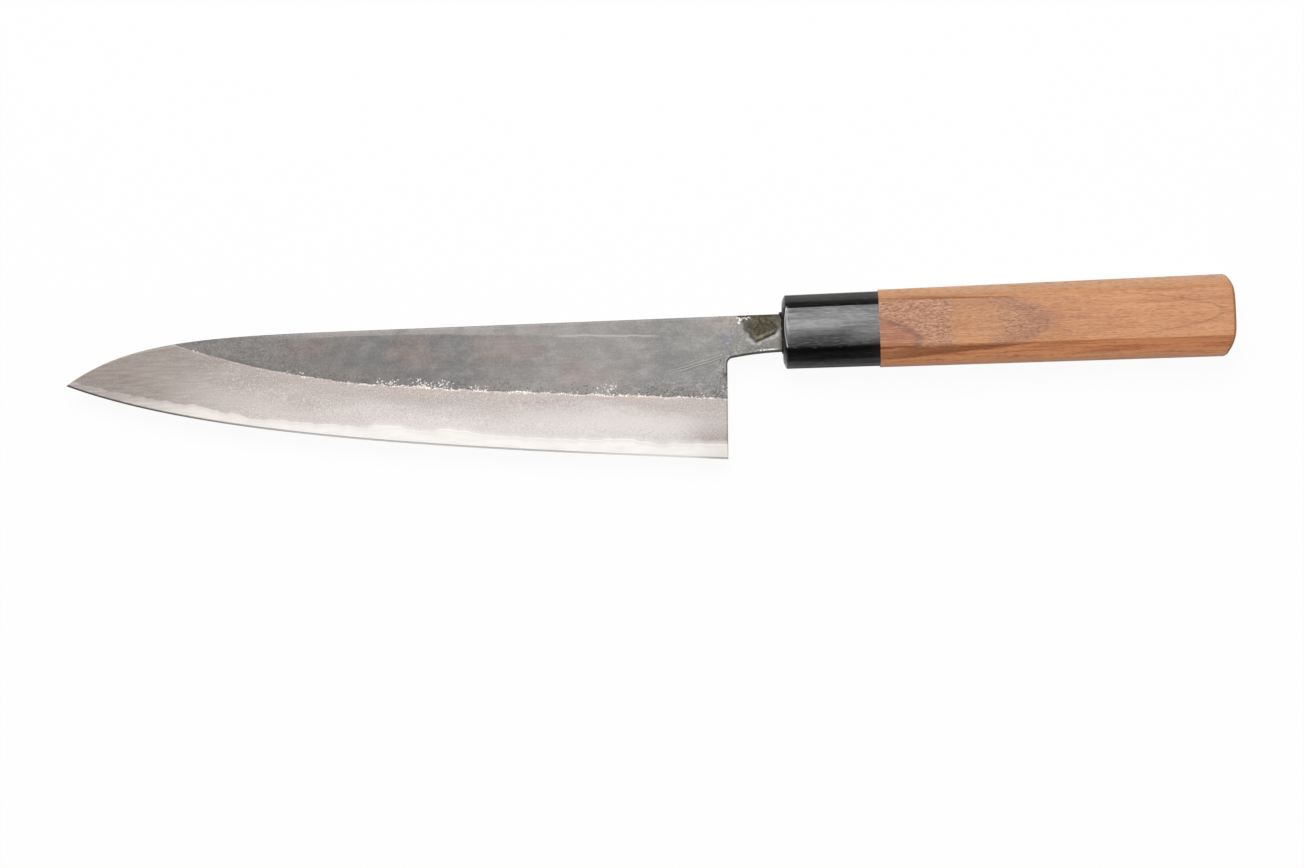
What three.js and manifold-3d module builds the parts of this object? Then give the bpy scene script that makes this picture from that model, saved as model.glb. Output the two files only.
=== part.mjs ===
// Gyuto: a 210 mm Japanese chef's knife with a three-layer forged blade and an octagonal stick-tang handle.
//
// Working frame, in millimetres: x = 0 at the mouth of the ferrule, with the butt towards +x and the tip
// towards -x; y = 0 and z = 0 on the handle's axis, with the spine towards +y and the blade's left face
// towards +z. The finished knife is shifted to lie on z = 0, with its bounding box centred on x and y.

import * as THREE from 'three';
import { mergeVertices, toCreasedNormals } from 'three/addons/utils/BufferGeometryUtils.js';
import Module from 'manifold-3d';

// Blade outline
const BLADE_LENGTH = 209;
const HEEL_HEIGHT = 45.5;
const TIP_DROP = 14;
const SPINE_ABOVE_AXIS = 5.7;
const SPINE_CURVE_LENGTH = 99.5;
const SPINE_CURVE_PULL = 53;
const SPINE_TIP_ANGLE = 34.7;
const SPINE_TIP_PULL = 24.8;
const EDGE_TIP_ANGLE = 22.5;
const EDGE_TIP_PULL = 49;
const EDGE_HEEL_ANGLE = 4.45;
const EDGE_HEEL_PULL = 81;
const HEEL_RAKE = 0.9;

// Neck and tang outline. The tang's length is counted from the mouth of the ferrule.
const NECK_LENGTH = 18.8;
const NECK_HEIGHT = 11.8;
const NECK_FLARE = 1.4;
const CHOIL_RADIUS = 2.2;
const NECK_INSERT = 4;
const TANG_LENGTH = 96;
const TANG_ROOT_HEIGHT = 9;
const TANG_END_HEIGHT = 5;

// Blade thickness and grind
const SPINE_THICKNESS = 3.4;
const SHOULDER_THICKNESS = 3.0;
const TIP_THICKNESS = 1.3;
const TANG_END_THICKNESS = 2.2;
const BEVEL_HEIGHT = 19.2;
const BEVEL_NARROWING = 2.3;
const BEVEL_TIP_RISE = 9.1;
const BEVEL_TIP_RISE_LENGTH = 83;
const BEVEL_TIP_RISE_POWER = 1.5;
const BEVEL_CONVEXITY = 0.25;
const EDGE_BEVEL_HEIGHT = 0.6;
const EDGE_BEVEL_THICKNESS = 0.3;
const EDGE_THICKNESS = 0.06;

// Height above the edge of the line where the grind comes through to the core, at even steps from tip to heel
const CORE_LINE = [
  1.8, 2.6, 3.2, 3.7, 3.6, 2.6, 3.5, 3.5, 4.1, 5.2,
  4.8, 5.4, 4.5, 4.1, 4.1, 4.4, 5.1, 4.3, 4.4, 4.6,
];

// Handle
const HANDLE_LENGTH = 143.4;
const FRONT_HEIGHT = 23.4;
const BUTT_HEIGHT = 25.2;
const FRONT_DEPTH = 19;
const BUTT_DEPTH = 20.6;
const FRONT_FACET = 4.7;
const BUTT_FACET = 4.8;
const FERRULE_LENGTH = 30.6;
const FERRULE_STEP = 0.25;
const FERRULE_WALL = 8;
const FERRULE_ROUND_LENGTH = 1.7;
const FERRULE_ROUND_INSET = 2.4;
const BUTT_CROWN = 2.8;
const BUTT_CROWN_POWER = 4;
const BUTT_EDGE_ROUND = 1.1;

// Dowel and seal
const DOWEL_DIAMETER = 13;
const DOWEL_END_WALL = 4;
const DOWEL_END_GAP = 0.3;
const DOWEL_CLEARANCE = 0.15;
const TANG_CLEARANCE = 0.3;
const SEAL_THICKNESS = 0.8;
const SEAL_DEPTH = 2.5;
const SEAL_PROUD = 0.8;
const SEAL_CLEARANCE = 0.1;

// Fineness of the facets
const BLADE_STATIONS = 48;
const TANG_STATIONS = 6;
const CORE_STATIONS = 110;
const BEVEL_ROWS = 3;
const CURVE_STEPS = 48;
const FILLET_STEPS = 6;
const ROUND_STEPS = 6;
const DOWEL_SIDES = 40;
const CUT_MARGIN = 2;
const MERGE_DISTANCE = 1e-5;
const CREASE_ANGLE = THREE.MathUtils.degToRad(24);

const wasm = await Module();
wasm.setup();

// Solids

// A closed geometry as a solid that can be joined and cut.
function solidOf(geometry) {
  const bare = geometry.clone();
  bare.deleteAttribute('normal');
  bare.deleteAttribute('uv');
  const merged = mergeVertices(bare, MERGE_DISTANCE);
  const vertProperties = new Float32Array(merged.attributes.position.array);
  const triVerts = new Uint32Array(merged.index.array);
  return new wasm.Manifold(new wasm.Mesh({ numProp: 3, vertProperties, triVerts }));
}

function geometryOf(solid) {
  const mesh = solid.getMesh();
  const geometry = new THREE.BufferGeometry();
  geometry.setAttribute('position', new THREE.BufferAttribute(mesh.vertProperties, mesh.numProp));
  geometry.setIndex(new THREE.BufferAttribute(mesh.triVerts, 1));
  return toCreasedNormals(geometry, CREASE_ANGLE);
}

// A solid skinned over rings of points. Each ring turns from +y to +z, and the rings follow each other in +x.
function loft(rings) {
  const count = rings[0].length;
  const positions = rings.flat().flatMap((point) => point.toArray());
  const triangles = [];
  for (let i = 0; i < rings.length - 1; i++) {
    for (let j = 0; j < count; j++) {
      const next = (j + 1) % count;
      const [a, b] = [i * count + j, i * count + next];
      const [c, d] = [b + count, a + count];
      triangles.push(a, b, c, a, c, d);
    }
  }
  const last = (rings.length - 1) * count;
  for (let j = 1; j < count - 1; j++) {
    triangles.push(0, j + 1, j, last, last + j, last + j + 1);
  }
  const geometry = new THREE.BufferGeometry();
  geometry.setAttribute('position', new THREE.Float32BufferAttribute(positions, 3));
  geometry.setIndex(triangles);
  return solidOf(geometry);
}

// A flat outline in x and y, thickened evenly to both sides of z = 0.
function plate(points, thickness) {
  const shape = new THREE.Shape(points);
  const geometry = new THREE.ExtrudeGeometry(shape, { depth: thickness, bevelEnabled: false });
  return solidOf(geometry.translate(0, 0, -thickness / 2));
}

// A square-edged bar along x, centred on z = 0.
function block(x0, x1, height, depth, middleY) {
  const geometry = new THREE.BoxGeometry(x1 - x0, height, depth);
  return solidOf(geometry.translate((x0 + x1) / 2, middleY, 0));
}

// A round bar along the handle's axis.
function rod(x0, x1, diameter) {
  const geometry = new THREE.CylinderGeometry(diameter / 2, diameter / 2, x1 - x0, DOWEL_SIDES);
  return solidOf(geometry.rotateZ(Math.PI / 2).translate((x0 + x1) / 2, 0, 0));
}

// Blade guide curves

const point = (x, y) => new THREE.Vector2(x, y);
const reach = (from, degrees, length) => {
  const angle = THREE.MathUtils.degToRad(degrees);
  return point(from.x + length * Math.cos(angle), from.y + length * Math.sin(angle));
};

const tip = point(-NECK_LENGTH - BLADE_LENGTH, SPINE_ABOVE_AXIS - TIP_DROP);
const heel = point(-NECK_LENGTH, SPINE_ABOVE_AXIS - HEEL_HEIGHT);
const spineEnd = point(tip.x + SPINE_CURVE_LENGTH, SPINE_ABOVE_AXIS);
const tangEnd = TANG_LENGTH;

const spineCurve = new THREE.CubicBezierCurve(
  tip,
  reach(tip, SPINE_TIP_ANGLE, SPINE_TIP_PULL),
  point(spineEnd.x - SPINE_CURVE_PULL, spineEnd.y),
  spineEnd,
);
const edgeCurve = new THREE.CubicBezierCurve(
  tip,
  reach(tip, -EDGE_TIP_ANGLE, EDGE_TIP_PULL),
  reach(heel, 180 - EDGE_HEEL_ANGLE, EDGE_HEEL_PULL),
  heel,
);

// Blade, neck and tang outline, anticlockwise from the tip: edge, heel, choil, neck, tang, spine.
function bladeOutline() {
  const neckTop = SPINE_ABOVE_AXIS;
  const neckBottom = neckTop - NECK_HEIGHT;
  const choil = point(heel.x + HEEL_RAKE, neckBottom - NECK_FLARE);
  const fillet = new THREE.QuadraticBezierCurve(
    point(choil.x, choil.y - CHOIL_RADIUS),
    choil,
    point(choil.x + CHOIL_RADIUS, choil.y + (NECK_FLARE * CHOIL_RADIUS) / NECK_LENGTH),
  );
  const neckSweep = new THREE.QuadraticBezierCurve(
    fillet.v2,
    point((choil.x + CHOIL_RADIUS) / 2, neckBottom),
    point(0, neckBottom),
  );
  return [
    ...edgeCurve.getPoints(CURVE_STEPS),
    ...fillet.getPoints(FILLET_STEPS),
    ...neckSweep.getPoints(FILLET_STEPS).slice(1),
    point(NECK_INSERT, neckBottom),
    point(NECK_INSERT, -TANG_ROOT_HEIGHT / 2),
    point(tangEnd, -TANG_END_HEIGHT / 2),
    point(tangEnd, TANG_END_HEIGHT / 2),
    point(NECK_INSERT, TANG_ROOT_HEIGHT / 2),
    point(NECK_INSERT, neckTop),
    ...spineCurve.getPoints(CURVE_STEPS / 2).reverse().slice(0, -1),
  ];
}

// Stations across the blade, from just past the tip to just past the end of the tang. Each stands on the edge
// line and looks up the blade along the edge's normal. Beyond the heel that line runs on along the handle.
function bladeStations() {
  const stations = [];
  const add = (foot, along) => stations.push({ foot, up: point(-along.y, along.x) });
  const tipWay = edgeCurve.getTangent(0);
  add(tip.clone().addScaledVector(tipWay, -CUT_MARGIN), tipWay);
  for (let i = 0; i <= BLADE_STATIONS; i++) {
    add(edgeCurve.getPoint(i / BLADE_STATIONS), edgeCurve.getTangent(i / BLADE_STATIONS));
  }
  const beyond = tangEnd + CUT_MARGIN - heel.x;
  for (let i = 1; i <= TANG_STATIONS; i++) {
    add(point(heel.x + (beyond * i) / TANG_STATIONS, heel.y), point(1, 0));
  }
  return stations;
}

// Share of the way from the tip to the heel, and from the mouth of the ferrule to the end of the tang.
const bladeShare = (x) => THREE.MathUtils.clamp((x - tip.x) / BLADE_LENGTH, 0, 1);
const tangShare = (x) => THREE.MathUtils.clamp(x / tangEnd, 0, 1);

// Thickness that thins towards the tip, and again along the tang.
function taper(x, thickness) {
  const onBlade = THREE.MathUtils.lerp(TIP_THICKNESS, thickness, bladeShare(x));
  return THREE.MathUtils.lerp(onBlade, Math.min(onBlade, TANG_END_THICKNESS), tangShare(x));
}

// Height of the bevel above the edge: it narrows a little from the heel, then sweeps up to the spine.
function bevelHeight(x) {
  const nearTip = 1 - THREE.MathUtils.clamp((x - tip.x) / BEVEL_TIP_RISE_LENGTH, 0, 1);
  const sweep = BEVEL_TIP_RISE * nearTip ** BEVEL_TIP_RISE_POWER;
  return BEVEL_HEIGHT - BEVEL_NARROWING * (1 - bladeShare(x)) + sweep;
}

// Half-thickness of the slightly convex bevel at a height above the edge.
function bevelHalf(x, height) {
  const share = (height - EDGE_BEVEL_HEIGHT) / (bevelHeight(x) - EDGE_BEVEL_HEIGHT);
  const bulge = share + BEVEL_CONVEXITY * share * (1 - share);
  return THREE.MathUtils.lerp(EDGE_BEVEL_THICKNESS, taper(x, SHOULDER_THICKNESS), bulge) / 2;
}

// Half-thicknesses up one station: the sharpened edge, the convex bevel, its shoulder line and the spine.
function grindRows({ foot }) {
  const shoulder = bevelHeight(foot.x);
  const halfEdge = EDGE_THICKNESS / 2;
  const halfBack = EDGE_BEVEL_THICKNESS / 2;
  const halfSpine = taper(foot.x, SPINE_THICKNESS) / 2;
  const runOut = (EDGE_BEVEL_HEIGHT * halfEdge) / (halfBack - halfEdge) / 2;
  const rows = [
    { height: -runOut, half: halfEdge / 2 },
    { height: EDGE_BEVEL_HEIGHT, half: halfBack },
  ];
  for (let i = 1; i <= BEVEL_ROWS; i++) {
    const height = THREE.MathUtils.lerp(EDGE_BEVEL_HEIGHT, shoulder, i / BEVEL_ROWS);
    rows.push({ height, half: bevelHalf(foot.x, height) });
  }
  rows.push({ height: Math.max(HEEL_HEIGHT, shoulder) + CUT_MARGIN, half: halfSpine });
  return rows;
}

// The ground billet: thickness only, wider than the outline that is cut from it.
function grind() {
  const ring = (station) => {
    const rows = grindRows(station);
    const at = (row, z) => {
      const place = station.foot.clone().addScaledVector(station.up, row.height);
      return new THREE.Vector3(place.x, place.y, z);
    };
    const right = rows.map((row) => at(row, -row.half));
    const left = rows.map((row) => at(row, row.half)).reverse();
    return [...right, ...left];
  };
  return loft(bladeStations().map(ring));
}

// Height of the core line above the edge, eased from step to step.
function coreLineHeight(x) {
  const place = bladeShare(x) * (CORE_LINE.length - 1);
  const before = Math.min(Math.floor(place), CORE_LINE.length - 2);
  const part = THREE.MathUtils.smoothstep(place - before, 0, 1);
  return THREE.MathUtils.lerp(CORE_LINE[before], CORE_LINE[before + 1], part);
}

// The core layer before grinding: a strip wide enough for the whole blade. Hammering has left its faces wavy,
// so that the bevel comes through to it at the core line.
function coreStrip() {
  const start = tip.x - CUT_MARGIN;
  const end = tangEnd + CUT_MARGIN;
  const top = SPINE_ABOVE_AXIS + CUT_MARGIN;
  const bottom = heel.y - CUT_MARGIN;
  const rings = [];
  for (let i = 0; i <= CORE_STATIONS; i++) {
    const x = THREE.MathUtils.lerp(start, end, i / CORE_STATIONS);
    const half = bevelHalf(x, coreLineHeight(x));
    rings.push([
      new THREE.Vector3(x, top, -half),
      new THREE.Vector3(x, top, half),
      new THREE.Vector3(x, bottom, half),
      new THREE.Vector3(x, bottom, -half),
    ]);
  }
  return loft(rings);
}

// The three layers of the blade: the outline cut from the ground billet, then parted along the core's faces.
function bladeLayers() {
  const blade = grind().intersect(plate(bladeOutline(), 2 * SPINE_THICKNESS));
  const strip = coreStrip();
  const sides = blade.subtract(strip).decompose();
  sides.sort((a, b) => b.volume() - a.volume());
  return {
    core: blade.intersect(strip),
    left: sides.find((side) => side.boundingBox().min[2] > 0),
    right: sides.find((side) => side.boundingBox().max[2] < 0),
  };
}

// Handle

// Height, depth and facet of the octagon at a place along the handle.
function octagonAt(x) {
  const share = x / HANDLE_LENGTH;
  return {
    halfHeight: THREE.MathUtils.lerp(FRONT_HEIGHT, BUTT_HEIGHT, share) / 2,
    halfDepth: THREE.MathUtils.lerp(FRONT_DEPTH, BUTT_DEPTH, share) / 2,
    facet: THREE.MathUtils.lerp(FRONT_FACET, BUTT_FACET, share),
  };
}

// One octagonal ring, drawn in by an even inset.
function octagonRing(x, inset = 0) {
  const { halfHeight, halfDepth, facet } = octagonAt(x);
  const cut = facet - inset * (2 - Math.SQRT2);
  const [y, z] = [halfHeight - inset, halfDepth - inset];
  const corners = [
    [y, z - cut],
    [y - cut, z],
    [cut - y, z],
    [-y, z - cut],
    [-y, cut - z],
    [cut - y, -z],
    [y - cut, -z],
    [y, cut - z],
  ];
  return corners.map(([cornerY, cornerZ]) => new THREE.Vector3(x, cornerY, cornerZ));
}

const neckMiddle = SPINE_ABOVE_AXIS - NECK_HEIGHT / 2;
const slotHeight = NECK_HEIGHT + 2 * SEAL_THICKNESS;
const slotDepth = SPINE_THICKNESS + 2 * SEAL_THICKNESS;
const boreDiameter = DOWEL_DIAMETER + 2 * DOWEL_CLEARANCE;
const dowelStart = FERRULE_WALL + DOWEL_END_GAP;
const dowelEnd = tangEnd + TANG_CLEARANCE + DOWEL_END_WALL;
const boreEnd = dowelEnd + DOWEL_END_GAP;

// Horn collar, a small step lower than the wood. Its front edge is rounded over, and it is slotted for the neck
// in front and bored for the dowel behind.
function ferrule() {
  const rings = [];
  for (let i = 0; i <= ROUND_STEPS; i++) {
    const turn = (i / ROUND_STEPS) * (Math.PI / 2);
    const x = FERRULE_ROUND_LENGTH * (1 - Math.cos(turn));
    rings.push(octagonRing(x, FERRULE_STEP + FERRULE_ROUND_INSET * (1 - Math.sin(turn))));
  }
  rings.push(octagonRing(FERRULE_LENGTH, FERRULE_STEP));
  return loft(rings)
    .subtract(block(-CUT_MARGIN, FERRULE_WALL + CUT_MARGIN, slotHeight, slotDepth, neckMiddle))
    .subtract(rod(FERRULE_WALL, FERRULE_LENGTH + CUT_MARGIN, boreDiameter));
}

// Side view of the butt: nearly flat in the middle and falling away towards the top and bottom faces.
function crownOutline() {
  const half = BUTT_HEIGHT / 2 + CUT_MARGIN;
  const points = [point(FERRULE_LENGTH - CUT_MARGIN, half), point(FERRULE_LENGTH - CUT_MARGIN, -half)];
  for (let i = -CURVE_STEPS / 2; i <= CURVE_STEPS / 2; i++) {
    const share = (2 * i) / CURVE_STEPS;
    const fall = BUTT_CROWN * Math.abs((share * half) / (BUTT_HEIGHT / 2)) ** BUTT_CROWN_POWER;
    points.push(point(HANDLE_LENGTH - fall, share * half));
  }
  return points;
}

// Wooden body: tapered octagon with a crowned butt whose edges are eased, bored for the dowel from the front.
function grip() {
  const rings = [octagonRing(FERRULE_LENGTH)];
  for (let i = 0; i <= ROUND_STEPS; i++) {
    const turn = (i / ROUND_STEPS) * (Math.PI / 2);
    const x = HANDLE_LENGTH - BUTT_EDGE_ROUND * (1 - Math.sin(turn));
    rings.push(octagonRing(x, BUTT_EDGE_ROUND * (1 - Math.cos(turn))));
  }
  return loft(rings)
    .intersect(plate(crownOutline(), BUTT_DEPTH + 2 * CUT_MARGIN))
    .subtract(rod(FERRULE_LENGTH - CUT_MARGIN, boreEnd, boreDiameter));
}

// Round pin through ferrule and grip, with a tapered slot that the tang seats in.
function dowel() {
  const half = (x) => {
    const share = (x - NECK_INSERT) / (tangEnd - NECK_INSERT);
    return THREE.MathUtils.lerp(TANG_ROOT_HEIGHT, TANG_END_HEIGHT, share) / 2 + TANG_CLEARANCE;
  };
  const [front, back] = [dowelStart - CUT_MARGIN, tangEnd + TANG_CLEARANCE];
  const slot = [
    point(front, -half(front)),
    point(back, -half(back)),
    point(back, half(back)),
    point(front, half(front)),
  ];
  const slotWidth = SPINE_THICKNESS + 2 * TANG_CLEARANCE;
  return rod(dowelStart, dowelEnd, DOWEL_DIAMETER).subtract(plate(slot, slotWidth));
}

// Resin ring that fills the mouth of the ferrule round the neck and stands a little proud of it.
function tangSeal() {
  const inSlot = -2 * SEAL_CLEARANCE;
  const ring = block(-SEAL_PROUD, SEAL_DEPTH, slotHeight + inSlot, slotDepth + inSlot, neckMiddle);
  const roundNeck = 2 * SEAL_CLEARANCE;
  const neck = [NECK_HEIGHT + roundNeck, SPINE_THICKNESS + roundNeck];
  return ring.subtract(block(-SEAL_PROUD - CUT_MARGIN, SEAL_DEPTH + CUT_MARGIN, ...neck, neckMiddle));
}

// Assembly

const steel = new THREE.MeshStandardMaterial({ color: 0xd6d2ce, roughness: 0.32, metalness: 1 });
const forgedIron = new THREE.MeshStandardMaterial({ color: 0x8b8d90, roughness: 0.5, metalness: 0.9 });
const horn = new THREE.MeshStandardMaterial({ color: 0x1c1b1b, roughness: 0.28, metalness: 0 });
const wood = new THREE.MeshStandardMaterial({ color: 0xc48f68, roughness: 0.6, metalness: 0 });
const paleWood = new THREE.MeshStandardMaterial({ color: 0xd8c39c, roughness: 0.7, metalness: 0 });
const resin = new THREE.MeshStandardMaterial({ color: 0x15120f, roughness: 0.4, metalness: 0 });

const knife = new THREE.Group();
function addPiece(name, solid, material) {
  const mesh = new THREE.Mesh(geometryOf(solid), material);
  mesh.name = name;
  knife.add(mesh);
}

const layers = bladeLayers();
addPiece('core_steel', layers.core, steel);
addPiece('cladding_left', layers.left, forgedIron);
addPiece('cladding_right', layers.right, forgedIron);
addPiece('tang_seal', tangSeal(), resin);
addPiece('ferrule', ferrule(), horn);
addPiece('dowel', dowel(), paleWood);
addPiece('grip', grip(), wood);

const bounds = new THREE.Box3().setFromObject(knife);
const centre = bounds.getCenter(new THREE.Vector3());
knife.position.set(-centre.x, -centre.y, -bounds.min.z);

const gyuto = new THREE.Group();
gyuto.name = 'gyuto';
gyuto.add(knife);

export default gyuto;
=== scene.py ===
import math

import bmesh
import bpy
import numpy as np
from mathutils import Matrix, Vector, kdtree, noise


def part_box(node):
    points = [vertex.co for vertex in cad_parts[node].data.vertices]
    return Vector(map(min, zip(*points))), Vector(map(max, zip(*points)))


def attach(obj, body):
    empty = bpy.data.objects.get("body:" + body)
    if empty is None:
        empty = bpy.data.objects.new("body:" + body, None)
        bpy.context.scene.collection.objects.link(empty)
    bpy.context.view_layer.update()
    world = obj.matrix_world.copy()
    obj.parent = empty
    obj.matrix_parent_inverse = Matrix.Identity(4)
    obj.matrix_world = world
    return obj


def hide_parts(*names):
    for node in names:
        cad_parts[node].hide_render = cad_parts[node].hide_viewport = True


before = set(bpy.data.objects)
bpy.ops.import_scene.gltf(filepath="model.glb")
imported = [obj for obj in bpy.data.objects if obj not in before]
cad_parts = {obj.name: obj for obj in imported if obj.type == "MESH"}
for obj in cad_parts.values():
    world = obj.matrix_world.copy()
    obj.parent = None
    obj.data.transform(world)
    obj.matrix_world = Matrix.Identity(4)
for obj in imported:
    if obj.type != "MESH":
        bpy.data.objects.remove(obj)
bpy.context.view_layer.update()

# Core steel: the hard middle layer of a blade forged from three layers. The grind cuts through the iron on
# both sides of it, so that it shows as a bright strip along the edge, and it runs on through the neck to the
# end of the tang.

# Sizes are in millimetres and degrees, from the mouth of the ferrule on the handle's axis.
MM = 0.001
core_low, core_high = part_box("core_steel")
collar_low, collar_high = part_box("ferrule")
mouth = Vector((collar_low.x, (collar_low.y + collar_high.y) / 2, (core_low.z + core_high.z) / 2))
tip_x, heel_y, _ = (core_low - mouth) / MM
tang_end, spine_y, _ = (core_high - mouth) / MM

TIP_DROP = 14.0
SPINE_CURVE_LENGTH = 99.5
SPINE_CURVE_PULL = 53.0
SPINE_TIP_ANGLE = 34.7
SPINE_TIP_PULL = 24.8
EDGE_TIP_ANGLE = 22.5
EDGE_TIP_PULL = 49.0
EDGE_HEEL_ANGLE = 4.45
EDGE_HEEL_PULL = 81.0
HEEL_RAKE = 0.9
NECK_LENGTH = 18.8
NECK_HEIGHT = 11.8
NECK_FLARE = 1.4
CHOIL_RADIUS = 2.2
NECK_INSERT = 4.0
TANG_STEP = 1.5
TANG_ROOT_HEIGHT = 9.0
TANG_END_HEIGHT = 5.0

SPINE_THICKNESS = 3.4
SHOULDER_THICKNESS = 3.0
TIP_THICKNESS = 1.3
TANG_END_THICKNESS = 2.2
BEVEL_HEIGHT = 19.2
BEVEL_NARROWING = 2.3
BEVEL_TIP_RISE = 9.1
BEVEL_TIP_RISE_LENGTH = 83.0
BEVEL_TIP_RISE_POWER = 1.5
BEVEL_CONVEXITY = 0.25
SHARPENED_HEIGHT = 0.6
SHARPENED_THICKNESS = 0.3
EDGE_THICKNESS = 0.06
SPINE_MARGIN = 2.0

# Height of the core line over the edge at even steps from tip to heel, finer waves in it by length and
# swing, and how far from the heel these die out.
CORE_LINE = (
    1.8, 2.6, 3.2, 3.7, 3.6, 2.6, 3.5, 3.5, 4.1, 5.2,
    4.8, 5.4, 4.5, 4.1, 4.1, 4.4, 5.1, 4.3, 4.4, 4.6,
)
CORE_WAVES = ((7.3, 0.16), (4.1, 0.12), (2.3, 0.06))
WAVE_FADE = 10.0

# Single rises and dips of the line: middle along the blade, reach and rise.
CORE_RISES = (
    (-186, 3.0, 0.7),
    (-174.5, 3.5, 0.9),
    (-166.5, 2.5, -0.5),
    (-134, 4.5, -1.0),
    (-114.5, 5.0, -0.9),
    (-94, 2.5, -0.4),
    (-40, 2.5, -0.6),
)
BLADE_COLUMNS = 320
PROBE_ROWS = 160
CORE_ROWS = 9
CURVE_STEPS = 1200
NECK_STEPS = 9
WELD_DISTANCE = 0.002
CREASE_ANGLE = 30


def toward(start, degrees, length):
    turn = math.radians(degrees)
    return start + length * np.array([math.cos(turn), math.sin(turn)])


def curve(steps, *guides):
    """Points on the Bezier curve with these guide points."""
    share = np.linspace(0, 1, steps)[:, None]
    while len(guides) > 1:
        guides = [a + (b - a) * share for a, b in zip(guides, guides[1:])]
    return guides[0]


def along(line, shares):
    """Points at these shares of a line's length."""
    travel = np.concatenate([[0], np.cumsum(np.linalg.norm(np.diff(line, axis=0), axis=1))])
    return np.column_stack([np.interp(shares * travel[-1], travel, line[:, i]) for i in range(2)])


tip = np.array([tip_x, spine_y - TIP_DROP])
heel = np.array([-NECK_LENGTH, heel_y])
neck_y = spine_y - NECK_HEIGHT
choil = np.array([heel[0] + HEEL_RAKE, neck_y - NECK_FLARE])
choil_start = choil - (0, CHOIL_RADIUS)
choil_end = choil + (CHOIL_RADIUS, NECK_FLARE * CHOIL_RADIUS / NECK_LENGTH)
heel_top = heel + (choil_start - heel) * (spine_y - heel_y) / (choil_start[1] - heel_y)
spine_end = np.array([tip[0] + SPINE_CURVE_LENGTH, spine_y])
edge_line = curve(
    2 * CURVE_STEPS,
    tip,
    toward(tip, -EDGE_TIP_ANGLE, EDGE_TIP_PULL),
    toward(heel, 180 - EDGE_HEEL_ANGLE, EDGE_HEEL_PULL),
    heel,
)
spine_curve = curve(
    CURVE_STEPS,
    tip,
    toward(tip, SPINE_TIP_ANGLE, SPINE_TIP_PULL),
    spine_end - (SPINE_CURVE_PULL, 0),
    spine_end,
)
spine_line = np.vstack([spine_curve, heel_top])


def nearest_on(line):
    """Finder of the point of a line that lies nearest."""
    finder = kdtree.KDTree(len(line))
    for number, (x, y) in enumerate(line):
        finder.insert((x, y, 0), number)
    finder.balance()
    return finder


# Heights over the edge are taken square to it, and behind the heel square to the handle's axis.
behind_heel = np.linspace(heel[0], tang_end, CURVE_STEPS)[1:]
edge_feet = np.vstack([edge_line, np.column_stack([behind_heel, np.full(len(behind_heel), heel_y)])])
nearest_foot = nearest_on(edge_feet)


def over_edge(points):
    """Height of points over the edge, and how far along the knife the feet of these heights lie."""
    found = [nearest_foot.find((x, y, 0)) for x, y in points.reshape(-1, 2)]
    height = np.array([distance for _, _, distance in found])
    feet = np.array([foot.x for foot, _, _ in found])
    return height.reshape(points.shape[:-1]), feet.reshape(points.shape[:-1])


def blade_share(x):
    return np.clip((x - tip[0]) / (heel[0] - tip[0]), 0, 1)


def tapered(x, full):
    blade = TIP_THICKNESS + (full - TIP_THICKNESS) * blade_share(x)
    return blade + (np.minimum(blade, TANG_END_THICKNESS) - blade) * np.clip(x / tang_end, 0, 1)


def bevel_height(x):
    to_tip = 1 - np.clip((x - tip[0]) / BEVEL_TIP_RISE_LENGTH, 0, 1)
    sweep = BEVEL_TIP_RISE * to_tip**BEVEL_TIP_RISE_POWER
    return BEVEL_HEIGHT - BEVEL_NARROWING * (1 - blade_share(x)) + sweep


def half_thickness(height, x):
    """Half the blade's thickness: sharpened edge, slightly convex bevel, then nearly flat to the spine."""
    shoulder = tapered(x, SHOULDER_THICKNESS) / 2
    spine = tapered(x, SPINE_THICKNESS) / 2
    bevel = bevel_height(x)
    rise = np.clip((height - SHARPENED_HEIGHT) / (bevel - SHARPENED_HEIGHT), 0, 1)
    flat = np.clip((height - bevel) / (spine_y - heel_y + SPINE_MARGIN - bevel), 0, 1)
    bow = rise + BEVEL_CONVEXITY * rise * (1 - rise)
    ground = SHARPENED_THICKNESS / 2 + (shoulder - SHARPENED_THICKNESS / 2) * bow + (spine - shoulder) * flat
    sharpening = np.clip(height / SHARPENED_HEIGHT, 0, 1)
    sharpened = EDGE_THICKNESS / 2 + (SHARPENED_THICKNESS - EDGE_THICKNESS) / 2 * sharpening
    return np.where(height < SHARPENED_HEIGHT, sharpened, ground)


def core_half(x):
    """Half the core's thickness, which puts the core line at its height over the edge."""
    place = blade_share(x) * (len(CORE_LINE) - 1)
    before = np.minimum(np.floor(place).astype(int), len(CORE_LINE) - 2)
    part = place - before
    heights = np.array(CORE_LINE)
    line = heights[before] + (heights[before + 1] - heights[before]) * part * part * (3 - 2 * part)
    waves = sum(swing * np.sin(2 * np.pi * (heel[0] - x) / length) for length, swing in CORE_WAVES)
    rises = sum(rise * np.exp(-(((x - middle) / reach) ** 2)) for middle, reach, rise in CORE_RISES)
    return half_thickness(line + rises + waves * np.clip((heel[0] - x) / WAVE_FADE, 0, 1), x)


def first_reach(amount):
    """Share of each column, from edge to spine, where an amount that rises with it first reaches 0."""
    reached = amount >= 0
    after = np.where(reached.any(1), reached.argmax(1), amount.shape[1] - 1)
    before = np.maximum(after - 1, 0)
    rows = np.arange(len(amount))
    low, high = amount[rows, before], amount[rows, after]
    part = np.where(high > low, np.clip(-low / np.maximum(high - low, 1e-9), 0, 1), 0)
    return (before + part * (after - before)) / (amount.shape[1] - 1)


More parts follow.
